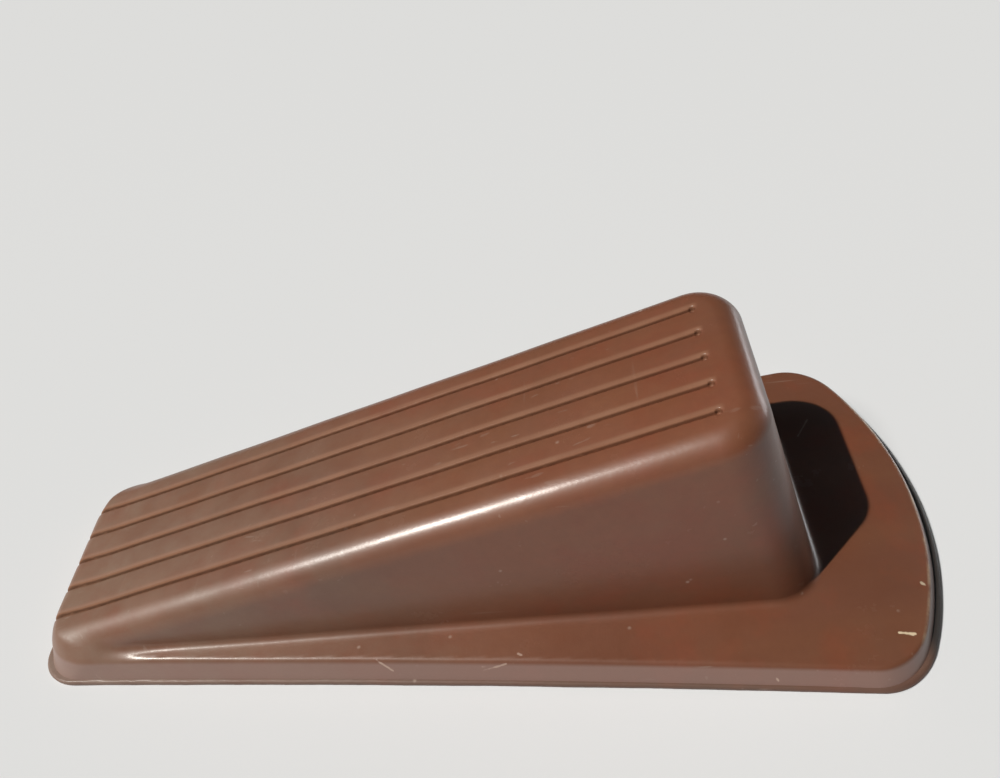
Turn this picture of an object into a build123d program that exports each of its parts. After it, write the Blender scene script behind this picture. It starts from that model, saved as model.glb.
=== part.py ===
from build123d import *
import os
from math import atan, cos, radians, sin, sqrt, tan

# Rubber door wedge: a hollow ramp-and-foot moulding bonded to a thin non-slip sole.
# Frame: origin at floor level under the middle of the sole's length and width.
# +X runs from the thin tip to the thick heel, +Z is up, and the part is symmetric about y = 0.
# Millimetres throughout. A "station" is a distance from the tip of the sole along +X.

# ---- sole
LENGTH = 120.65             # tip of the sole to the back of its heel
SOLE_T = 0.9                # thickness of the sole's sheet
PLUG_H = 2.1                # height of the locating plugs above the sheet
PLUG_GAP = 0.2              # clearance of each plug to its pocket wall
PLUG_SINK = 0.2             # how far each plug starts below the sheet's top, so the two fuse
TREAD_W = 1.2               # width of one tread channel
TREAD_DEPTH = 0.35
TREAD_PITCH = 3.6
TREAD_MARGIN = 3.6          # plain border left round the tread
TREAD_END_ROOM = 3.0        # length inside the border left out when counting channels
TREAD_TIP_R = 2.0           # corner radius of the tread zone at the tip

# ---- plan shape of the foot: half-width = SIDE_A + SIDE_B u + SIDE_C u^2,
# where u = (station - SIDE_START) / SIDE_L
SIDE_A, SIDE_B, SIDE_C = 15.975, 10.587, 2.194
SIDE_START, SIDE_L = 1.55, 105.56
HEEL_R = 47.5               # radius of the D-shaped heel
HEEL_CORNER_R = 9.6         # radius where the side meets the heel
TIP_CORNER_R = 5.0

# ---- foot plate: its leaning wall, as insets from the sole's outline and as corner radii
PLATE_TOP = 3.5             # height of the foot plate's top face above the floor
WALL_IN_TIP, WALL_IN_HEEL, WALL_IN_SIDE = 0.7, 1.3, 0.5     # at the wall's foot
TOP_IN_TIP, TOP_IN_HEEL, TOP_IN_SIDE = 1.7, 2.7, 2.0        # at the wall's top
WALL_HEEL_R, WALL_TIP_R = HEEL_CORNER_R - 0.3, TIP_CORNER_R + 0.2
TOP_HEEL_R, TOP_TIP_R = HEEL_CORNER_R - 1.0, TIP_CORNER_R + 1.8

# ---- ramp and block
RAMP_RISE = 0.319           # rise per unit length
RAMP_ANGLE = atan(RAMP_RISE)
RAMP_Z0 = 3.80              # height of the ramp's plane over the tip
BLOCK_BACK = 91.1           # station of the sharp corner of ramp and rear face
BLOCK_HALF = 13.3           # half-width at the ramp's plane, before the edges are rounded
BLOCK_FLARE = tan(radians(5.8))     # side walls: outward run per unit of depth below the ramp
REAR_FLARE = tan(radians(1.5))      # rear face: the same
BLOCK_DEPTH = 40.0          # depth of the untrimmed block, square to the ramp
BLOCK_REACH = 130.0         # length of the untrimmed block, past the tip
BLOCK_SINK = 0.8            # how far the block reaches down into the foot plate
EDGE_R = 3.1                # rounding of the ramp's long edges and of the top rear edge
BACK_CORNER_R = 6.2         # rounding of the block's upright rear corners
NOSE_R = 2.4                # rounding over the front of the tip

# ---- grooves in the ramp
GROOVE_N = 5
GROOVE_PITCH = 4.27
GROOVE_W = 0.6
GROOVE_DEPTH = 0.55
GROOVE_DOT = 0.85           # diameter of the round sunk end of each groove
GROOVE_END = 86.1           # station of the middle of every round end
GROOVE_START = -5.0         # the cutters begin ahead of the tip, so the grooves are open there

# ---- hollow underside
SKIN = 4.2                  # rubber left under the ramp and in front of the rear face
SIDE_SKIN = 4.0             # rubber left at the sides, at the bottom of the body
RIB = 3.0                   # thickness of the ribs between pockets
POCKET_ROWS = 4
POCKET_START = 33.0         # station of the front of the first row of pockets
POCKET_L = 12.5
POCKET_R = 2.0              # corner radius of each pocket in plan
CORE_START = 28.0           # station ahead of every pocket where the core limit begins


def tx(station):
    """World x of a station."""
    return station - LENGTH / 2


def foot_half(station, inset):
    u = (station - SIDE_START) / SIDE_L
    return SIDE_A + SIDE_B * u + SIDE_C * u * u - inset


def ramp_z(station):
    return RAMP_Z0 + RAMP_RISE * station


def ramp_plane(station, y=0.0):
    """Plane lying on the ramp, x up the slope and z out of the rubber."""
    return Plane(origin=(tx(station), y, ramp_z(station)),
                 x_dir=(cos(RAMP_ANGLE), 0, sin(RAMP_ANGLE)),
                 z_dir=(-sin(RAMP_ANGLE), 0, cos(RAMP_ANGLE)))


def block_half(station, z):
    """Half-width of the block at a station and a height."""
    return BLOCK_HALF + (ramp_z(station) - z) * cos(RAMP_ANGLE) * BLOCK_FLARE


def heel_joint(heel, side_in):
    """Station where the flared side meets the heel arc, found by bisection."""
    centre = heel - HEEL_R
    low, high = centre, heel
    for _ in range(60):
        middle = (low + high) / 2
        arc_half = sqrt(max(HEEL_R * HEEL_R - (middle - centre) ** 2, 0.0))
        if arc_half > foot_half(middle, side_in):
            low = middle
        else:
            high = middle
    return (low + high) / 2


def foot_face(tip_in, heel_in, side_in, heel_corner_r, tip_corner_r, z=0.0):
    """Foot outline inset from the sole's: straight tip, flared sides, D-shaped heel."""
    heel = LENGTH - heel_in
    joint = heel_joint(heel, side_in)

    def side_point(station, sign):
        return (tx(station), sign * foot_half(station, side_in))

    middle = (tip_in + joint) / 2
    right_tip, right_joint = side_point(tip_in, -1), side_point(joint, -1)
    left_joint, left_tip = side_point(joint, 1), side_point(tip_in, 1)
    face = make_face([
        ThreePointArc(right_tip, side_point(middle, -1), right_joint),
        ThreePointArc(right_joint, (tx(heel), 0), left_joint),
        ThreePointArc(left_joint, side_point(middle, 1), left_tip),
        Line(left_tip, right_tip),
    ])
    face = fillet(face.vertices().sort_by(Axis.X)[2:], heel_corner_r)
    tip_corners = [v for v in face.vertices() if v.X < tx(tip_in) + 0.01]
    face = fillet(tip_corners, tip_corner_r)
    return Pos(0, 0, z) * face


def plate_top_face(z):
    """Plan outline of the foot plate's top face, placed at a height."""
    return foot_face(TOP_IN_TIP, TOP_IN_HEEL, TOP_IN_SIDE, TOP_HEEL_R, TOP_TIP_R, z)


def side_face(points):
    """Closed outline of (station, z) points, still flat in XY with z drawn along Y."""
    return make_face(Polyline(*[(tx(station), z) for station, z in points], close=True))


def side_prism(face, half_width):
    """Stand a side_face up and extrude it symmetrically about y = 0."""
    return extrude(Plane.XZ * face, half_width, both=True)


def pocket_section(front, y_outer, sign, gap, z):
    """Pocket in plan at a height; its outer wall closes in with the block's side."""
    x_front, x_back = tx(front) + gap, tx(front + POCKET_L) - gap
    y_in = RIB / 2 + gap
    y_out = y_outer - gap - (z - SOLE_T) * BLOCK_FLARE
    place = Pos((x_front + x_back) / 2, sign * (y_in + y_out) / 2, z)
    return place * RectangleRounded(x_back - x_front, y_out - y_in, POCKET_R - gap)


def pockets(gap=0.0, z_low=0.0, z_high=50.0):
    """Pockets in rows of two, either side of a middle rib. gap shrinks them for the plugs."""
    shapes = []
    for row in range(POCKET_ROWS):
        front = POCKET_START + row * (POCKET_L + RIB)
        y_outer = block_half(front + POCKET_L / 2, SOLE_T) - SIDE_SKIN
        for sign in (1, -1):
            ends = [pocket_section(front, y_outer, sign, gap, z) for z in (z_low, z_high)]
            shapes.append(loft(ends, ruled=True))
    return shapes


# ---- non_slip_sole
def make_sole():
    """Thin sheet with cross channels underneath and plugs on top."""
    sole = extrude(foot_face(0.0, 0.0, 0.0, HEEL_CORNER_R, TIP_CORNER_R), SOLE_T)
    tread_plan = foot_face(TREAD_MARGIN, TREAD_MARGIN, TREAD_MARGIN,
                           HEEL_CORNER_R - TREAD_MARGIN, TREAD_TIP_R)
    tread_zone = extrude(tread_plan, TREAD_DEPTH)
    gaps = int((LENGTH - 2 * TREAD_MARGIN - TREAD_END_ROOM) / TREAD_PITCH)
    for i in range(gaps + 1):
        x = (i - gaps / 2) * TREAD_PITCH
        bar = Pos(x, 0, TREAD_DEPTH / 2) * Box(TREAD_W, 90, TREAD_DEPTH)
        sole = sole - (bar & tread_zone)
    for plug in pockets(PLUG_GAP, SOLE_T - PLUG_SINK, SOLE_T + PLUG_H):
        sole = sole + plug
    return sole


# ---- wedge_body
def make_plate():
    """Foot plate with its leaning wall."""
    wall_foot = foot_face(WALL_IN_TIP, WALL_IN_HEEL, WALL_IN_SIDE,
                          WALL_HEEL_R, WALL_TIP_R, SOLE_T)
    return loft([wall_foot, plate_top_face(PLATE_TOP)], ruled=True)


def make_block():
    """Ramp block: drafted sides and rear, rounded upright rear corners and top edges."""
    plane = ramp_plane(BLOCK_BACK)

    def section(depth):
        half = BLOCK_HALF + depth * BLOCK_FLARE
        back = depth * REAR_FLARE
        face = make_face(Polyline((-BLOCK_REACH, -half), (back, -half),
                                  (back, half), (-BLOCK_REACH, half), close=True))
        back_corners = face.vertices().sort_by(Axis.X)[2:]
        return plane * (Pos(0, 0, -depth) * fillet(back_corners, BACK_CORNER_R))

    block = loft([section(0.0), section(BLOCK_DEPTH)], ruled=True)
    top = block.faces().sort_by(Axis(plane.origin, plane.z_dir))[-1]
    # every top edge but the front one
    rim = [e for e in top.edges() if plane.to_local_coords(e.center()).X > 1 - BLOCK_REACH]
    block = fillet(rim, EDGE_R)
    keep_above = Pos(0, 0, PLATE_TOP - BLOCK_SINK + 50) * Box(400, 200, 100)
    return block & keep_above


def make_nose_limit():
    """Everything behind the leaning, rounded front of the tip."""
    lean = (TOP_IN_TIP - WALL_IN_TIP) / (PLATE_TOP - SOLE_T)

    def front(z):
        return WALL_IN_TIP + lean * (z - SOLE_T)

    # height where the leaning front meets the ramp's plane
    z_meet = (RAMP_Z0 + RAMP_RISE * front(0)) / (1 - RAMP_RISE * lean)
    z_low, far = -2, 150     # clear of the body below and behind
    face = side_face([(front(z_low), z_low), (front(z_meet), z_meet),
                      (far, ramp_z(far) + 3), (far, z_low)])
    nose_corner = [v for v in face.vertices() if abs(v.Y - z_meet) < 0.01]
    return side_prism(fillet(nose_corner, NOSE_R), 60)


def cut_grooves(body):
    """Grooves along the ramp, open at the tip and ending in a round dot."""
    drop = GROOVE_DEPTH / cos(RAMP_ANGLE)
    rise = 6                 # carries the cutter clear above the ramp
    outline = [(GROOVE_START, ramp_z(GROOVE_START) - drop), (GROOVE_END, ramp_z(GROOVE_END) - drop),
               (GROOVE_END, ramp_z(GROOVE_END) + rise), (GROOVE_START, ramp_z(GROOVE_START) + rise)]
    for i in range(GROOVE_N):
        y = (i - (GROOVE_N - 1) / 2) * GROOVE_PITCH
        groove = Pos(0, y, 0) * side_prism(side_face(outline), GROOVE_W / 2)
        dot_face = ramp_plane(GROOVE_END, y) * Circle(GROOVE_DOT / 2)
        body = body - groove - extrude(dot_face, GROOVE_DEPTH, both=True)
    return body


def make_core_limit():
    """Room for the pockets, stopping one skin short of the ramp and of the rear face."""
    skin = SKIN / cos(RAMP_ANGLE)
    roof_z0 = ramp_z(0) - skin               # height of the inner roof's plane over the tip
    # the inner rear face is square to the ramp and passes through this station and height
    rear, rear_z = BLOCK_BACK - skin, ramp_z(BLOCK_BACK)
    meet = (rear_z + rear / RAMP_RISE - roof_z0) / (RAMP_RISE + 1 / RAMP_RISE)
    return side_prism(side_face([(CORE_START, 0), (CORE_START, roof_z0 + RAMP_RISE * CORE_START),
                                 (meet, roof_z0 + RAMP_RISE * meet),
                                 (rear + rear_z * RAMP_RISE, 0)]), 30)


def make_body():
    """Foot plate and ramp block in one, grooved on top and cored from below."""
    nose_limit = make_nose_limit()
    # the block may not overhang the plate's wall, so it is trimmed to the plate's top outline
    block = make_block() & extrude(plate_top_face(0.0), 60) & nose_limit
    body = (make_plate() & nose_limit) + block
    body = cut_grooves(body)
    core_limit = make_core_limit()
    for pocket in pockets():
        body = body - (pocket & core_limit)
    return body


def export_piece(name, shape):
    """Write one piece, as a bare solid where it is a single one."""
    solids = shape.solids()
    piece = solids[0] if len(solids) == 1 else Compound(children=list(solids))
    piece.label = name
    export_step(piece, f"parts/{name}.step")


if __name__ == "__main__":
    os.makedirs("parts", exist_ok=True)
    export_piece("non_slip_sole", make_sole())
    export_piece("wedge_body", make_body())
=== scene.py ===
"""Rubber door wedge on a foot plate, with a separate sole pad.

The thin tip is at -X and the heel at +X; the wedge is centred on Y = 0 and stands on Z = 0.
Shapes and meshing work in millimetres, shaders in metres. The surfaces are signed distances
(negative inside) of `along` = distance from the tip, `side` = |y| and z = height.
"""
import math
import bpy
import numpy as np
from mathutils import Matrix, Vector


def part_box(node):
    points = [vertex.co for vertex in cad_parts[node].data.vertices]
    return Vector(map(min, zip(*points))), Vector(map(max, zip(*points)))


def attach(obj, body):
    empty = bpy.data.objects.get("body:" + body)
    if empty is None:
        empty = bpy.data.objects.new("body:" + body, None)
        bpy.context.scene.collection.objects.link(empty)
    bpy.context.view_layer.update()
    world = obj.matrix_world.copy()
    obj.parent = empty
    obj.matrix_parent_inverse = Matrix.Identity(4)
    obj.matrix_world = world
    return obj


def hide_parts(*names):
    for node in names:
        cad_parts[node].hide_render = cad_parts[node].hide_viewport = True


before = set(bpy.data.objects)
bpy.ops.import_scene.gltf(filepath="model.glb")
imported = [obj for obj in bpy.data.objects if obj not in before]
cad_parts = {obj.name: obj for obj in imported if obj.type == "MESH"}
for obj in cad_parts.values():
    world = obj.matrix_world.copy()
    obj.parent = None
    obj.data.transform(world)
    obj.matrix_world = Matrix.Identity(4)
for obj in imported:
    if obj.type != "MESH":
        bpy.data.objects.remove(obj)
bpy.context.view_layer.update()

MM = 0.001
SOLE_LOW, SOLE_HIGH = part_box("non_slip_sole")
X_TIP = SOLE_LOW.x / MM
LENGTH = (SOLE_HIGH.x - SOLE_LOW.x) / MM

# Sole pad and foot plate
SOLE_T = 0.9
PLATE_TOP = 3.5
HEEL_R = 47.5                        # arc of the heel in plan
TOP_HEEL = LENGTH - 2.7              # heel end of the plate's top edge
# Ramp
RISE, RAMP_Z = 0.319, 3.80           # rise per mm along, height above the tip
SLOPE = math.atan(RISE)
COS_SLOPE, SIN_SLOPE = math.cos(SLOPE), math.sin(SLOPE)
# Block under the ramp
BLOCK_HALF = 13.3                    # half width at the ramp
DRAFT = math.radians(5.8)
BACK = 91.1                          # upper edge of the rear face
BACK_Z = RAMP_Z + RISE * BACK
REAR_TILT = SLOPE + math.radians(1.5)
EDGE_R, BACK_R, NOSE_R = 3.1, 6.2, 2.4
NOSE_LEAN = 1.0 / 2.6
NOSE_TILT = math.atan(NOSE_LEAN)
# Grooves in the ramp
GROOVE_PITCH = 4.27
GROOVE_Y = [k * GROOVE_PITCH for k in range(-2, 3)]
GROOVE_END = 86.4
GROOVE_STOP = GROOVE_END / COS_SLOPE - 0.3       # measured up the slope
# Pockets under the block, a pair at each station; the sole's plugs fill their mouths
POCKET_HALF = 6.25
POCKET_MIDDLES = [33.0 + 15.5 * k + POCKET_HALF for k in range(4)]
POCKET_RIB = 1.5                     # centre line to the pocket
POCKET_WALL = 4.0
POCKET_ROOF = 4.2
POCKET_R = 2.0
PLUG_GAP = 0.2
PLUG_H = 2.1


# ---- Distance helpers ----
def corner(a, b, cos_between, radius):
    """Meet of two faces with a rolling-ball round; cos_between is between their normals."""
    cos_between = np.clip(cos_between, -0.95, 0.995)
    sin_squared = 1 - cos_between * cos_between
    far_a, far_b = a + radius, b + radius
    past_a = far_a - far_b * cos_between
    past_b = far_b - far_a * cos_between
    reach = far_a * far_a + far_b * far_b - 2 * far_a * far_b * cos_between
    arc = np.sqrt(np.maximum(reach, 0) / sin_squared) - radius
    return np.where((past_a > 0) & (past_b > 0), arc, np.maximum(a, b))


def smooth_min(a, b, blend):
    h = np.maximum(blend - np.abs(a - b), 0.0) / blend
    return np.minimum(a, b) - h * h * blend * 0.25


def smooth_max(a, b, blend):
    return -smooth_min(-a, -b, blend)


def smooth_step(value, low, high):
    t = np.clip((value - low) / (high - low), 0.0, 1.0)
    return t * t * (3 - 2 * t)


def ramp_plane(along, z):
    return (z - RAMP_Z - RISE * along) * COS_SLOPE


def rear_face(along, z):
    return (along - BACK) * math.cos(REAR_TILT) + (z - BACK_Z) * math.sin(REAR_TILT)


def plan_outline(along, side, front, heel, inset, heel_round, tip_round):
    """2-D distance to the foot's plan: widening sides, straight tip, arched heel."""
    start, run = 1.55, 105.56
    half_tip, widen, curve = 15.975, 10.587, 2.194
    u = (along - start) / run
    half = half_tip + widen * u + curve * u * u - inset
    slope = (widen + 2 * curve * u) / run
    norm = np.sqrt(1 + slope * slope)
    flank = (side - half) / norm
    centre = heel - HEEL_R
    rho = np.sqrt((along - centre) ** 2 + side * side) + 1e-9
    arc = rho - HEEL_R
    cos_between = (-slope / norm) * ((along - centre) / rho) + (1 / norm) * (side / rho)
    rear = corner(flank, np.where(along > centre, arc, -20.0), cos_between, heel_round)
    return np.where(along < 25, corner(flank, front - along, slope, tip_round), rear)


def pocket_plan(along, side, z, middle, gap):
    """Rounded rectangle of one pocket, shrunk by gap; its outer wall leans with the block."""
    block_half = BLOCK_HALF - ramp_plane(middle, SOLE_T) * math.tan(DRAFT)
    inner = POCKET_RIB + gap
    outer = block_half - POCKET_WALL - gap - (z - SOLE_T) * math.tan(DRAFT)
    radius = POCKET_R - gap
    over_x = np.abs(along - middle) - (POCKET_HALF - gap) + radius
    over_y = np.abs(side - (inner + outer) / 2) - (outer - inner) / 2 + radius
    outside = np.sqrt(np.maximum(over_x, 0) ** 2 + np.maximum(over_y, 0) ** 2)
    return outside + np.minimum(np.maximum(over_x, over_y), 0) - radius


# ---- Wedge moulding ----
def nosed_ramp(along, y, z):
    """Ramp with slightly crowned ridges and soft unevenness, rolling over at the nose."""
    ridge = 0.5 + 0.5 * np.cos(2 * math.pi * (y / GROOVE_PITCH))
    crown = np.where(np.abs(y) < 10.67, 0.07 * ridge * ridge, 0.0)
    ramp = ramp_plane(along, z) + crown * smooth_step(GROOVE_END + 1.6 - along, 0.0, 3.0)
    ramp = (ramp + 0.035 * np.sin(along * 0.16 + 0.7) * np.cos(y * 0.21 + 0.4)
            + 0.02 * np.sin(along * 0.39 + y * 0.23))
    front = (0.95 + (z - SOLE_T) * NOSE_LEAN - along) * math.cos(NOSE_TILT)
    cos_between = SIN_SLOPE * math.cos(NOSE_TILT) + COS_SLOPE * math.sin(NOSE_TILT)
    return corner(ramp, front, cos_between, NOSE_R)


def block_distance(along, side, z, top):
    wall = (side - BLOCK_HALF) * math.cos(DRAFT) + ramp_plane(along, z) * math.sin(DRAFT)
    wall = wall + 0.03 * np.sin(along * 0.11 + 1.1 + z * 0.07)
    rear = rear_face(along, z)
    around = corner(wall, rear, 0.0, BACK_R)
    return corner(top, around, math.sin(DRAFT) * smooth_step(wall - rear, -4.0, 4.0), EDGE_R)


def foot_and_block(along, y, z, block):
    side = np.abs(y)
    rise = np.clip((z - SOLE_T) / (PLATE_TOP - SOLE_T), -0.5, 1.4)
    wall = plan_outline(along, side, front=0.7 + 1.0 * rise, heel=LENGTH - 1.3 - 1.4 * rise,
                        inset=0.5 + 1.5 * rise, heel_round=9.3 - 0.7 * rise,
                        tip_round=5.2 + 1.6 * rise) * 0.90      # 0.90 allows for the lean
    top_edge = plan_outline(along, side, front=1.5, heel=TOP_HEEL, inset=2.0,
                            heel_round=8.6, tip_round=8.0)
    top = (z - PLATE_TOP + 0.02 * np.sin(along * 0.27)
           - 0.015 * np.sin(along * 0.13 + y * 0.31))
    near_tip = smooth_step(17.0 - along, 0.0, 12.0)
    plate = corner(top, wall, 0.42, 0.55 + 1.3 * near_tip)
    # nothing of the block overhangs the foot
    block = corner(block, top_edge, 0.45, 1.1 + 0.9 * near_tip)
    return smooth_min(plate, block, 1.0 + 1.8 * near_tip)


def groove_distance(along, y, z, top):
    """Grooves following ramp and nose, each closed by a half-round end and a round dimple."""
    past_end = along * COS_SLOPE + (z - RAMP_Z) * SIN_SLOPE - GROOVE_STOP
    flare = 0.16 * np.clip(top, -0.6, 0.3)
    deep = 0.62 - 0.26 * smooth_step(9.0 - along, 0.0, 8.0)
    grooves = np.full(np.shape(top), 99.0)
    for groove_y in GROOVE_Y:
        radial = np.sqrt(np.maximum(past_end, 0.0) ** 2 + (y - groove_y) ** 2)
        channel = smooth_max((radial - 0.25 - flare) * 0.98, -(top + deep), 0.16)
        dimple = np.sqrt(past_end ** 2 + (y - groove_y) ** 2) - 0.44 - flare
        dimple = smooth_max(dimple, -(top + 0.66), 0.16)
        grooves = np.minimum(grooves, np.minimum(channel, dimple))
    return grooves


def body_distance(p):
    along, y, z = p[..., 0] - X_TIP, p[..., 1], p[..., 2]
    side = np.abs(y)
    top = nosed_ramp(along, y, z)
    solid = foot_and_block(along, y, z, block_distance(along, side, z, top))
    solid = smooth_max(solid, -groove_distance(along, y, z, top), 0.22)
    # the foot of the wall sits just inside the sole, so the joint line is clean
    solid = np.maximum(solid, SOLE_T - 0.25 - z)
    roof = np.maximum(ramp_plane(along, z) + POCKET_ROOF, rear_face(along, z) + POCKET_ROOF)
    for middle in POCKET_MIDDLES:
        pocket = pocket_plan(along, side, z, middle, gap=0.0)
        solid = np.maximum(solid, -smooth_max(pocket, roof, 1.0))
    return solid


# ---- Sole pad ----
def sole_distance(p):
    along, y, z = p[..., 0] - X_TIP, p[..., 1], p[..., 2]
    side = np.abs(y)
    edge = plan_outline(along, side, front=0.0, heel=LENGTH, inset=0.0,
                        heel_round=9.6, tip_round=5.0)
    # a moulded edge is never dead straight
    wobble = (0.012 * np.sin(along * 0.37 + 1.3 * np.sign(y)) + 0.008 * np.sin(along * 0.9 + 0.6)
              + 0.012 * np.sin(side * 0.7 + along * 0.19))
    edge = edge + wobble * np.clip(1.0 + edge, 0, 1) + 0.03
    upper = corner(z - SOLE_T, edge, 0.0, 0.32 + 0.45 * smooth_step(along, 95.0, 112.0))
    solid = corner(-z, upper, 0.0, 0.22)
    # crosswise tread channels in the underside
    pitch, margin = 3.6, 3.6
    zone = plan_outline(along, side, front=margin, heel=LENGTH - margin, inset=margin,
                        heel_round=6.0, tip_round=2.0)
    off = np.abs((along - LENGTH / 2 + pitch / 2) % pitch - pitch / 2)
    channel = corner(corner(off - 0.6, z - 0.35, 0.0, 0.18), zone, 0.0, 0.4)
    solid = smooth_max(solid, -channel, 0.18)
    for middle in POCKET_MIDDLES:
        plan = pocket_plan(along, side, z, middle, gap=PLUG_GAP)
        plug = corner(z - SOLE_T - PLUG_H, plan, 0.0, 0.35)
        solid = np.minimum(solid, np.maximum(plug, SOLE_T - 0.3 - z))
    return solid


# ---- Surface nets on a grid with its own spacing along each axis ----
def axis_lines(stops):
    """stops: (start, end, spacing) joined end to end."""
    lines = []
    for start, end, spacing in stops:
        count = max(1, int(round((end - start) / spacing)))
        lines.append(np.linspace(start, end, count, endpoint=False))
    lines.append([stops[-1][1]])
    return np.concatenate(lines)


def gradient(distance, points, reach):
    slopes = np.empty_like(points)
    for i in range(3):
        offset = np.zeros(3)
        offset[i] = reach
        slopes[:, i] = (distance(points + offset) - distance(points - offset)) / (2 * reach)
    return slopes


def sample(distance, xs, ys, zs):
    """Distances at every grid point, worked out in slabs to limit memory."""
    values = np.empty((len(xs), len(ys), len(zs)), np.float32)
    grid_y, grid_z = np.meshgrid(ys, zs, indexing="ij")
    slab = max(1, 400000 // (len(ys) * len(zs)))
    for i in range(0, len(xs), slab):
        part = xs[i:i + slab]
        points = np.empty((len(part), len(ys), len(zs), 3))
        points[..., 0] = part[:, None, None]
        points[..., 1] = grid_y
        points[..., 2] = grid_z
        values[i:i + slab] = distance(points)
    return values


def neighbour_cell(index, axis, back_a, back_b):
    """Cell beside each grid edge that runs along axis."""
    first, second = [m for m in range(3) if m != axis]
    cell = index.copy()
    cell[:, first] -= back_a
    cell[:, second] -= back_b
    return cell


def pull_onto(distance, verts):
    for _ in range(4):
        slopes = gradient(distance, verts, 0.02)
        squared = np.maximum((slopes * slopes).sum(1), 0.05)
        move = -(distance(verts) / squared)[:, None] * slopes
        size = np.linalg.norm(move, axis=1)
        move *= np.minimum(1.0, 0.35 / np.maximum(size, 1e-9))[:, None]
        verts = verts + move
    return verts


def surface(distance, axes):
    values = sample(distance, *axes)
    inside = values < 0
    cell_shape = tuple(n - 1 for n in values.shape)
    total = np.zeros(cell_shape + (3,), np.float32)
    count = np.zeros(cell_shape, np.float32)
    crossings = []
    for k in range(3):
        low, high = [slice(None)] * 3, [slice(None)] * 3
        low[k], high[k] = slice(0, -1), slice(1, None)
        low, high = tuple(low), tuple(high)
        crossed = inside[low] != inside[high]
        index = np.argwhere(crossed)
        start, end = values[low][crossed], values[high][crossed]
        point = np.empty((len(index), 3), np.float32)
        for m in range(3):
            point[:, m] = axes[m][index[:, m]]
        gap = axes[k][index[:, k] + 1] - axes[k][index[:, k]]
        point[:, k] += start / (start - end) * gap
        for back_a in (0, 1):
            for back_b in (0, 1):
                cell = neighbour_cell(index, k, back_a, back_b)
                valid = (cell >= 0).all(1) & (cell < cell_shape).all(1)
                np.add.at(total, tuple(cell[valid].T), point[valid])
                np.add.at(count, tuple(cell[valid].T), 1)
        crossings.append((k, index, inside[low][crossed]))
    used = count > 0
    vertex_id = np.full(cell_shape, -1, np.int64)
    vertex_id[used] = np.arange(int(used.sum()))
    verts = (total[used] / count[used][:, None]).astype(float)
    quads = []
    for k, index, inside_low in crossings:
        ring = []
        for back_a, back_b in ((1, 1), (0, 1), (0, 0), (1, 0)):
            cell = neighbour_cell(index, k, back_a, back_b)
            ring.append(vertex_id[tuple(np.clip(cell, 0, np.array(cell_shape) - 1).T)])
        quad = np.stack(ring, 1)
        keep = inside_low if k != 1 else ~inside_low
        quad[~keep] = quad[~keep][:, ::-1]
        quads.append(quad)
    return pull_onto(distance, verts), np.concatenate(quads)


def shading_normals(mesh, distance, verts):
    """True surface normals, or the faces' own average where the two disagree."""
    slopes = gradient(distance, verts, 0.03)
    normals = slopes / np.maximum(np.linalg.norm(slopes, axis=1), 1e-9)[:, None]
    face_normal = np.array([f.normal[:] for f in mesh.polygons])
    area = np.array([f.area for f in mesh.polygons])
    corners = [list(f.vertices) for f in mesh.polygons]
    vertex = np.concatenate([np.array(c) for c in corners])
    face = np.repeat(np.arange(len(corners)), [len(c) for c in corners])
    average = np.zeros_like(normals)
    np.add.at(average, vertex, face_normal[face] * area[face][:, None])
    average /= np.maximum(np.linalg.norm(average, axis=1), 1e-12)[:, None]
    agree = (average * normals).sum(1)
    return np.where((agree > 0.5)[:, None], normals, average)


def add_object(name, mesh):
    ob = bpy.data.objects.new(name, mesh)
    bpy.context.scene.collection.objects.link(ob)
    return ob


def build_piece(name, distance, axes):
    verts, quads = surface(distance, axes)
    mesh = bpy.data.meshes.new(name)
    mesh.from_pydata((verts * MM).tolist(), [], quads.tolist())
    mesh.validate()
    mesh.update()
    mesh.polygons.foreach_set("use_smooth", [True] * len(mesh.polygons))
    normals = shading_normals(mesh, distance, verts)
    mesh.normals_split_custom_set_from_vertices(normals.tolist())
    return add_object(name, mesh)


def body_axes():
    """Grid lines crowd at the grooves and their ends, the nose, the foot and the heel."""
    coarse = 0.58
    medium = 0.42
    reach = 0.72
    offsets = (-reach, -0.52, -0.40, -0.31, -0.20, 0.0, 0.20, 0.31, 0.40, 0.52, reach)
    middle = [y + k for y in GROOVE_Y for k in offsets]
    for left, right in zip(GROOVE_Y, GROOVE_Y[1:]):
        start, end = left + reach, right - reach
        count = int(round((end - start) / (coarse * 0.95)))
        middle += list(np.linspace(start, end, count + 1)[1:-1])
    middle = np.array(sorted(middle))
    outer = axis_lines([(middle[-1], 17.0, 0.5),
                        (17.0, 29.0, 0.45)])[1:]
    xs = X_TIP + axis_lines([(-0.6, 5.0, 0.22), (5.0, 85.2, coarse),
                             (85.2, 87.2, 0.15), (87.2, 102.0, medium),
                             (102.0, 112.0, coarse), (112.0, 121.6, medium)])
    zs = axis_lines([(0.35, 4.6, 0.2), (4.6, 27.0, coarse),
                     (27.0, 33.0, medium)])
    return xs, np.concatenate([-outer[::-1], middle, outer]), zs


def sole_axes():
    xs = X_TIP + axis_lines([(-0.6, 3.0, 0.28), (3.0, 112.0, 0.6), (112.0, 121.6, 0.35)])
    half = axis_lines([(0.0, 17.0, 0.65), (17.0, 29.2, 0.35)])
    zs = axis_lines([(-0.3, 1.2, 0.15), (1.2, 3.4, 0.4)])
    return xs, np.concatenate([-half[::-1], half[1:]]), zs


body = build_piece("wedge_moulding", body_distance, body_axes())
sole = build_piece("sole_pad", sole_distance, sole_axes())

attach(body, "root")
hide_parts("wedge_body")
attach(sole, "root")
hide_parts("non_slip_sole")


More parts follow.
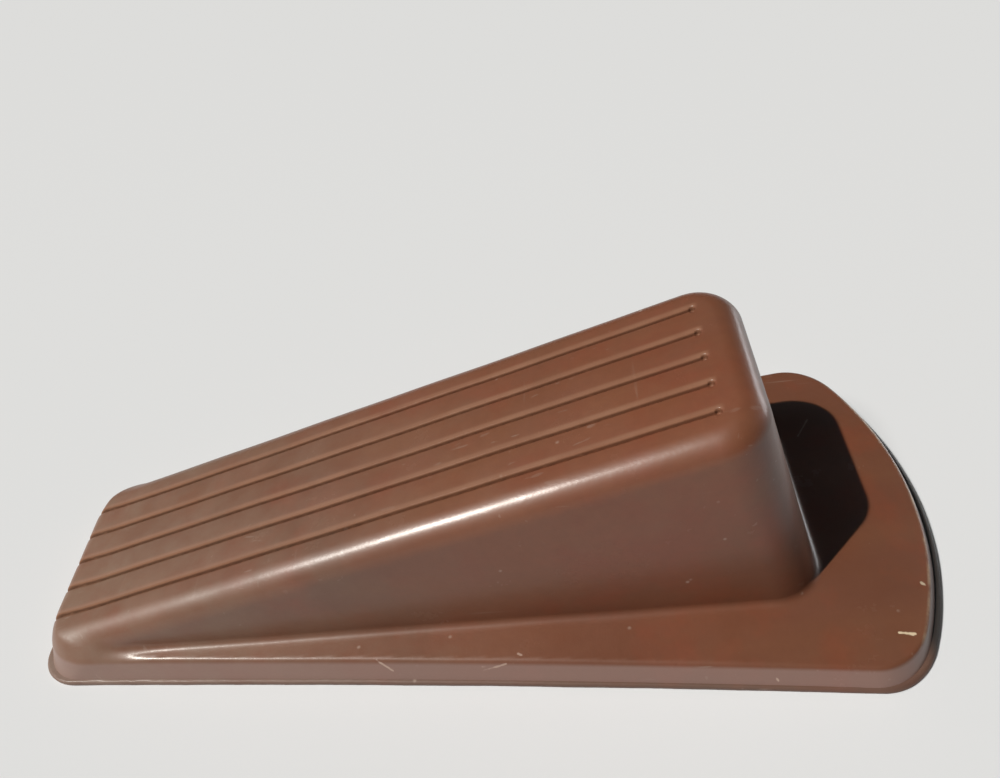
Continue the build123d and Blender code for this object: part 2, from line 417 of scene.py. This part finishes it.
# ---- Materials (positions in metres) ----
class Nodes:
    """Short names for building a shader tree."""

    def __init__(self, name):
        self.mat = bpy.data.materials.new(name)
        self.mat.use_nodes = True
        self.tree = self.mat.node_tree
        self.tree.nodes.clear()
        self.out = self.new("OutputMaterial")
        self.obj = self.new("TexCoord").outputs["Object"]

    def new(self, kind, **inputs):
        node = self.tree.nodes.new("ShaderNode" + kind)
        for key, value in inputs.items():
            self.put(node.inputs[key], value)
        return node

    def put(self, sock, value):
        if isinstance(value, (int, float)):
            sock.default_value = value
        elif isinstance(value, tuple):
            sock.default_value = (*value, 1) if len(sock.default_value) == 4 else value
        else:
            self.tree.links.new(value, sock)

    def noise(self, scale, detail=3.0, rough=0.55, seed=0.0, vec=None):
        node = self.new("TexNoise")
        node.noise_dimensions = "4D"
        for key, value in (("W", seed), ("Scale", scale), ("Detail", detail),
                           ("Roughness", rough), ("Vector", vec or self.obj)):
            self.put(node.inputs[key], value)
        return node.outputs["Fac"]

    def scaled(self, scale, turn=0.0):
        return self.new("Mapping", Scale=scale, Rotation=(0.0, 0.0, turn),
                        Vector=self.obj).outputs[0]

    def remap(self, src, span, to=(0.0, 1.0), smooth=False):
        node = self.new("MapRange")
        if smooth:
            node.interpolation_type = "SMOOTHSTEP"
        for key, value in zip(("From Min", "From Max", "To Min", "To Max"), (*span, *to)):
            self.put(node.inputs[key], value)
        self.put(node.inputs["Value"], src)
        return node.outputs[0]

    def math(self, op, a, b=0.0, clamp=False):
        node = self.new("Math")
        node.operation = op
        node.use_clamp = clamp
        self.put(node.inputs[0], a)
        self.put(node.inputs[1], b)
        return node.outputs[0]

    def times(self, first, *others):
        for other in others:
            first = self.math("MULTIPLY", first, other)
        return first

    def vmath(self, op, a, b):
        node = self.new("VectorMath")
        node.operation = op
        self.put(node.inputs[0], a)
        self.put(node.inputs[1], b)
        return node.outputs["Value" if op in ("DOT_PRODUCT", "LENGTH") else "Vector"]

    def mix(self, fac, a, b):
        node = self.new("Mix")
        node.data_type = "RGBA"
        for i, value in ((0, fac), (6, a), (7, b)):
            self.put(node.inputs[i], value)
        return node.outputs[2]

    def stroke(self, start, end, width):
        """1 inside a thin stroke (mm), 0 outside, ragged at its edge."""
        start, end = np.array(start) * MM, np.array(end) * MM
        run = end - start
        run_tuple = tuple(run.tolist())
        rel = self.vmath("SUBTRACT", self.obj, tuple(start.tolist()))
        t = self.math("DIVIDE", self.vmath("DOT_PRODUCT", rel, run_tuple),
                      float(run @ run), clamp=True)
        scale = self.new("VectorMath")
        scale.operation = "SCALE"
        self.put(scale.inputs[0], run_tuple)
        self.put(scale.inputs["Scale"], t)
        away = self.vmath("SUBTRACT", rel, scale.outputs["Vector"])
        dist = self.vmath("LENGTH", away, (0.0, 0.0, 0.0))
        ragged = self.remap(self.noise(1500.0, detail=2.0), (0.3, 0.7),
                            to=(-0.3 * width * MM, 0.3 * width * MM))
        return self.remap(self.math("ADD", dist, ragged),
                          (0.35 * width * MM, 1.0 * width * MM), to=(1.0, 0.0), smooth=True)

    def bump(self, height, strength, depth, normal=None):
        node = self.new("Bump", Strength=strength, Distance=depth, Height=height)
        if normal is not None:
            self.put(node.inputs["Normal"], normal)
        return node.outputs[0]


def heel_rub(n, x, y, z):
    """A worn line where the foot plate's top edge meets its heel wall."""
    dx = n.math("SUBTRACT", x, (X_TIP + TOP_HEEL - HEEL_R) * MM)
    radius = n.math("SQRT", n.math("ADD", n.times(dx, dx), n.times(y, y)))
    off = n.math("ABSOLUTE", n.math("SUBTRACT", radius, 0.0474))
    line = n.remap(off, (0.00010, 0.00042), to=(1.0, 0.0), smooth=True)
    here = n.times(n.remap(x, (0.046, 0.050)), n.remap(z, (0.0030, 0.0033)))
    patchy = n.remap(n.noise(260.0, detail=4.0, rough=0.65, seed=61.0), (0.42, 0.62),
                     to=(0.05, 0.75))
    return n.times(line, here, patchy)


def ramp_grooves(n, x, y):
    """Two masks over the grooved ramp: a painted highlight band on the +Y lip of each groove,
    standing for its lit far wall, and its inside.
    """
    cycle = n.math("FRACT", n.math("ADD", n.math("DIVIDE", y, GROOVE_PITCH * MM), 0.5))
    off = n.times(n.math("SUBTRACT", cycle, 0.5), GROOVE_PITCH)      # mm from the groove
    on = n.times(n.remap(x, (0.0260, 0.0266), to=(1.0, 0.0)),
                 n.remap(n.math("ABSOLUTE", y), (0.0098, 0.0102), to=(1.0, 0.0)))
    band = n.times(n.remap(off, (0.10, 0.30), smooth=True),
                   n.remap(off, (0.66, 1.10), to=(1.0, 0.0), smooth=True))
    band_patches = n.remap(n.noise(95.0, detail=3.0, rough=0.6, seed=71.0), (0.36, 0.62),
                   to=(0.45, 1.0))
    lit_lip_band = n.times(band, on, band_patches)
    inside = n.remap(n.math("ABSOLUTE", off), (0.36, 0.60), to=(1.0, 0.0), smooth=True)
    return lit_lip_band, n.times(inside, on)


CREAM, PALE = (0.62, 0.50, 0.34), (0.42, 0.30, 0.24)
# Scratches: start and end (mm), width (mm), colour, strength
MARKS = [
    ((48.5, -22.2, 3.5), (50.4, -22.6, 3.5), 0.20, CREAM, 1.0),
    ((49.3, -22.35, 3.5), (50.1, -22.6, 3.5), 0.30, CREAM, 1.0),
    ((53.8, -15.5, 3.5), (54.1, -15.9, 3.3), 0.28, (0.50, 0.42, 0.30), 0.8),
    ((31.2, -23.3, 3.3), (32.7, -26.0, 1.5), 0.18, PALE, 0.8),
    ((-16.4, -18.5, 3.3), (-14.7, -19.7, 2.1), 0.19, PALE, 0.8),
    ((-6.9, -21.5, 1.4), (-0.4, -20.7, 3.0), 0.18, PALE, 0.7),
    ((1.2, -19.8, 3.5), (1.5, -20.0, 3.4), 0.24, PALE, 0.7),
    ((-3.4, -20.4, 2.6), (-3.1, -20.4, 2.6), 0.30, PALE, 0.8),
    ((25.0, -15.4, 22.0), (26.8, -15.6, 20.2), 0.20, PALE, 0.6),
    ((27.6, -16.0, 17.5), (29.0, -16.0, 17.1), 0.15, PALE, 0.45),
    ((10.2, -24.0, 3.0), (11.5, -24.3, 2.5), 0.18, PALE, 0.5),
    ((44.5, 12.0, 3.5), (46.8, 15.2, 3.5), 0.16, PALE, 0.4),
]


def body_wear_and_painted_light(n, col, x, y, z):
    lit_lip_band, inside = ramp_grooves(n, x, y)
    # painted highlight: a paler patchy band on each groove's +Y lip stands for its lit far wall
    col = n.mix(n.times(lit_lip_band, 0.8), col, (0.235, 0.112, 0.064))
    # the low wall of the foot is painted paler and greyer
    low = n.remap(z, (0.00325, 0.0027), to=(0.0, 0.5), smooth=True)
    col = n.mix(low, col, (0.27, 0.185, 0.165))
    col = n.mix(heel_rub(n, x, y, z), col, (0.30, 0.215, 0.135))
    for start, end, width, tint, strength in MARKS:
        col = n.mix(n.times(n.stroke(start, end, width), strength), col, tint)
    return col, inside


def sole_heel_shade(n, col, x, y, z):
    """Painted shade: near-black over the sole's heel lip, where the foot plate's shadow falls;
    there are no grooves to mask.
    """
    slant = n.math("ADD", x, n.times(y, 0.42))
    heel_shade = n.remap(slant, (0.0405, 0.0450), to=(0.0, 0.93), smooth=True)
    return n.mix(heel_shade, col, (0.022, 0.021, 0.020)), None


def mottled_colour(n, base):
    """The base colour drifts, with blotches, faint lengthwise flow lines and grain."""
    def tint(*factors):
        return tuple(v * k for v, k in zip(base, factors))

    cloud = n.noise(26.0, detail=3.0, rough=0.5)
    flow = n.noise(70.0, detail=3.0, rough=0.6, seed=2.0, vec=n.scaled((0.25, 1.6, 1.6)))
    grain = n.noise(900.0, detail=3.0, rough=0.6, seed=5.0)
    col = n.mix(n.remap(cloud, (0.34, 0.66)), tint(0.82, 0.85, 0.90), tint(1.17, 1.10, 1.03))
    blot = n.noise(115.0, detail=4.0, rough=0.6, seed=77.0)
    col = n.mix(n.remap(blot, (0.48, 0.66), to=(0.0, 0.75)), col, tint(1.18, 0.86, 0.78))
    col = n.mix(n.remap(flow, (0.42, 0.68), to=(0.0, 0.45)), col, tint(1.14, 1.34, 1.22))
    return n.mix(n.remap(grain, (0.35, 0.70), to=(0.0, 0.22)), col, tint(0.72, 0.72, 0.72))


def add_specks(n, col):
    cells = n.new("TexVoronoi", Scale=420.0, Vector=n.obj)
    speck = n.remap(cells.outputs["Distance"], (0.05, 0.14), to=(1.0, 0.0))
    keep = n.remap(n.noise(210.0, detail=2.0, seed=12.0), (0.60, 0.66), to=(0.0, 0.55))
    return n.mix(n.times(speck, keep), col, (0.42, 0.33, 0.27))


def hairline_scuffs(n):
    """Stretched noise in three directions, kept in patches."""
    lines = None
    for i, (sx, sy, turn) in enumerate(((1.0, 30.0, 0.25), (1.0, 26.0, -0.5),
                                        (26.0, 1.2, 0.15))):
        hair = n.noise(34.0, detail=2.0, rough=0.5, seed=20.0 + i * 3.1,
                       vec=n.scaled((sx, sy, 26.0), turn))
        hair = n.remap(hair, (0.69, 0.72))
        lines = hair if lines is None else n.math("MAXIMUM", lines, hair)
    patches = n.noise(55.0, detail=2.0, seed=31.0)
    return n.times(lines, n.remap(patches, (0.50, 0.62), to=(0.0, 0.22)))


# Moulded skin, fine pebble to soft waves: noise scale, detail, seed, bump strength, depth (m)
SKIN = [(2400.0, 2.0, 50.0, 0.30, 0.00003), (620.0, 3.0, 52.0, 0.35, 0.00006),
        (85.0, 2.0, 54.0, 0.35, 0.00022)]


def rubber(name, base, rough, dust_and_sheen, coat, wear_and_painted_light):
    n = Nodes(name)
    shader = n.new("BsdfPrincipled")
    n.put(n.out.inputs[0], shader.outputs[0])
    x, y, z = n.new("SeparateXYZ", Vector=n.obj).outputs
    col = mottled_colour(n, base)
    # handling dust, thickest towards the tip; the greying there is partly painted sheen
    tip = n.remap(x, (-0.058, 0.012), to=(0.62, 0.0), smooth=True)
    film = n.remap(n.noise(160.0, detail=5.0, rough=0.65, seed=9.0), (0.38, 0.72),
                   to=(0.35, 1.0))
    dust_and_sheen_gain = 1.0
    dust_and_sheen_amount = n.times(n.math("ADD", tip, 0.06), film)
    dust_and_sheen_amount = n.math("MULTIPLY", dust_and_sheen_amount, dust_and_sheen_gain, clamp=True)
    col = add_specks(n, n.mix(dust_and_sheen_amount, col, dust_and_sheen))
    scuff = hairline_scuffs(n)
    col = n.mix(scuff, col, (0.34, 0.26, 0.21))
    # wear marks, plus painted highlight on the groove lips and painted shade on the sole's heel
    col, inside = wear_and_painted_light(n, col, x, y, z)
    shine = n.remap(n.noise(130.0, detail=4.0, rough=0.6, seed=40.0), (0.3, 0.7),
                    to=(rough - 0.04, rough + 0.06))
    shine = n.math("ADD", shine, n.times(dust_and_sheen_amount, 0.18))
    shine = n.math("ADD", shine, n.times(scuff, 0.2), clamp=True)
    specular = 0.36
    if inside is not None:           # grooves are duller
        shine = n.math("ADD", shine, n.times(inside, 0.28), clamp=True)
        coat = n.remap(inside, (0.0, 1.0), to=(coat, 0.03))
        specular = n.remap(inside, (0.0, 1.0), to=(specular, 0.14))
    coat_rough = n.remap(film, (0.3, 1.0), to=(0.20, 0.30))
    normal = None
    for scale, detail, seed, strength, depth in SKIN:
        height = n.noise(scale, detail=detail, rough=0.5, seed=seed)
        normal = n.bump(height, strength, depth, normal)
    normal = n.bump(scuff, strength=0.25, depth=0.00004, normal=normal)
    for key, value in (("Base Color", col), ("Specular IOR Level", specular),
                       ("Coat Weight", coat), ("Roughness", shine),
                       ("Coat Roughness", coat_rough), ("Normal", normal),
                       ("Coat Normal", normal)):
        n.put(shader.inputs[key], value)
    return n.mat


body.data.materials.append(rubber(
    "brown_rubber", base=(0.150, 0.052, 0.0255), rough=0.47, dust_and_sheen=(0.205, 0.140, 0.094),
    coat=0.35, wear_and_painted_light=body_wear_and_painted_light))
sole.data.materials.append(rubber(
    "brown_sole_rubber", base=(0.120, 0.060, 0.042), rough=0.58, dust_and_sheen=(0.26, 0.19, 0.15),
    coat=0.1, wear_and_painted_light=sole_heel_shade))


# ---- Floor ----
def make_floor(half=3.0):
    mesh = bpy.data.meshes.new("floor")
    mesh.from_pydata([(-half, -half, 0), (half, -half, 0), (half, half, 0), (-half, half, 0)],
                     [], [(0, 1, 2, 3)])
    ob = add_object("floor", mesh)
    mat = bpy.data.materials.new("pale_floor")
    mat.use_nodes = True
    inputs = mat.node_tree.nodes["Principled BSDF"].inputs
    inputs["Base Color"].default_value = (0.82, 0.82, 0.81, 1)
    inputs["Roughness"].default_value = 0.9
    inputs["Specular IOR Level"].default_value = 0.2
    mesh.materials.append(mat)
    return ob


floor = make_floor()


# ---- Lights, each linked to the wedge or the floor only ----
def receivers(name, *objects):
    group = bpy.data.collections.new(name)
    for ob in objects:
        group.objects.link(ob)
    return group


def sun(name, lit, energy, spread, aim, color, diffuse=True, glossy=True):
    """spread is the sun's angle in degrees, aim the way its light travels."""
    light = bpy.data.lights.new(name, "SUN")
    light.energy = energy
    light.angle = math.radians(spread)
    light.color = color
    ob = add_object(name, light)
    ob.rotation_euler = Vector(aim).to_track_quat("-Z", "Y").to_euler()
    ob.light_linking.receiver_collection = lit
    ob.visible_diffuse = diffuse
    ob.visible_glossy = glossy


on_wedge = receivers("lit_wedge", body, sole)
on_floor = receivers("lit_floor", floor)
KEY_AIM = (0.580, 0.192, -0.791)
COOL = (0.94, 0.97, 1.0)
sun("key", on_wedge, energy=4.1, spread=0.9, aim=KEY_AIM, color=(1.0, 0.97, 0.92),
    glossy=False)
sun("glint", on_wedge, energy=5.2, spread=15.0, aim=(0.687, 0.169, -0.707),
    color=(1.0, 0.965, 0.90), diffuse=False)
sun("glint_high", on_wedge, energy=1.5, spread=13.0, aim=(0.60, 0.17, -0.78),
    color=(1.0, 0.96, 0.89), diffuse=False)
sun("key_floor", on_floor, energy=3.5, spread=16.0, aim=KEY_AIM, color=(1.0, 0.995, 0.985))
sun("front_fill", on_wedge, energy=0.16, spread=50.0, aim=(0.30, 0.85, -0.42),
    color=(0.86, 0.92, 1.0))
sun("back_sky", on_wedge, energy=1.6, spread=32.0, aim=(-0.80, -0.55, -0.03), color=COOL,
    diffuse=False)
sun("rear_fill", on_wedge, energy=0.9, spread=10.0, aim=(-0.68, -0.73, -0.03), color=COOL,
    glossy=False)


# ---- World ----
def make_world():
    """A faint blue fill; seen directly, the room is nearly as pale as the floor."""
    world = bpy.data.worlds.new("studio")
    bpy.context.scene.world = world
    world.use_nodes = True
    nodes, links = world.node_tree.nodes, world.node_tree.links
    fill = nodes["Background"]
    fill.inputs[0].default_value = (0.80, 0.88, 1.0, 1)
    fill.inputs[1].default_value = 0.016
    pale = nodes.new("ShaderNodeBackground")
    pale.inputs[0].default_value = (0.75, 0.75, 0.74, 1)
    pick = nodes.new("ShaderNodeMixShader")
    links.new(nodes.new("ShaderNodeLightPath").outputs["Is Camera Ray"], pick.inputs[0])
    links.new(fill.outputs[0], pick.inputs[1])
    links.new(pale.outputs[0], pick.inputs[2])
    links.new(pick.outputs[0], nodes["World Output"].inputs[0])


# ---- Camera, looking along +Y and down ----
def make_camera():
    yaw, pitch, roll = 0.0642648, 0.923894, 0.0431612
    place = Vector((11.446, -59.929, 83.406)) * MM
    forward = Vector((math.sin(yaw) * math.cos(pitch), math.cos(yaw) * math.cos(pitch),
                      -math.sin(pitch)))
    level = Vector((math.cos(yaw), -math.sin(yaw), 0))
    down = forward.cross(level)
    right = level * math.cos(roll) + down * math.sin(roll)
    down = down * math.cos(roll) - level * math.sin(roll)
    data = bpy.data.cameras.new("camera")
    data.sensor_fit = "HORIZONTAL"
    data.sensor_width = 36.0
    data.lens = 25.442712
    data.shift_x = -0.115999
    data.shift_y = 0.125388
    data.clip_start = 0.003
    ob = add_object("camera", data)
    turn = Matrix((right, -down, -forward)).transposed()
    ob.matrix_world = Matrix.Translation(place) @ turn.to_4x4()
    bpy.context.scene.camera = ob


make_world()
make_camera()
bpy.context.scene.view_settings.view_transform = "Standard"
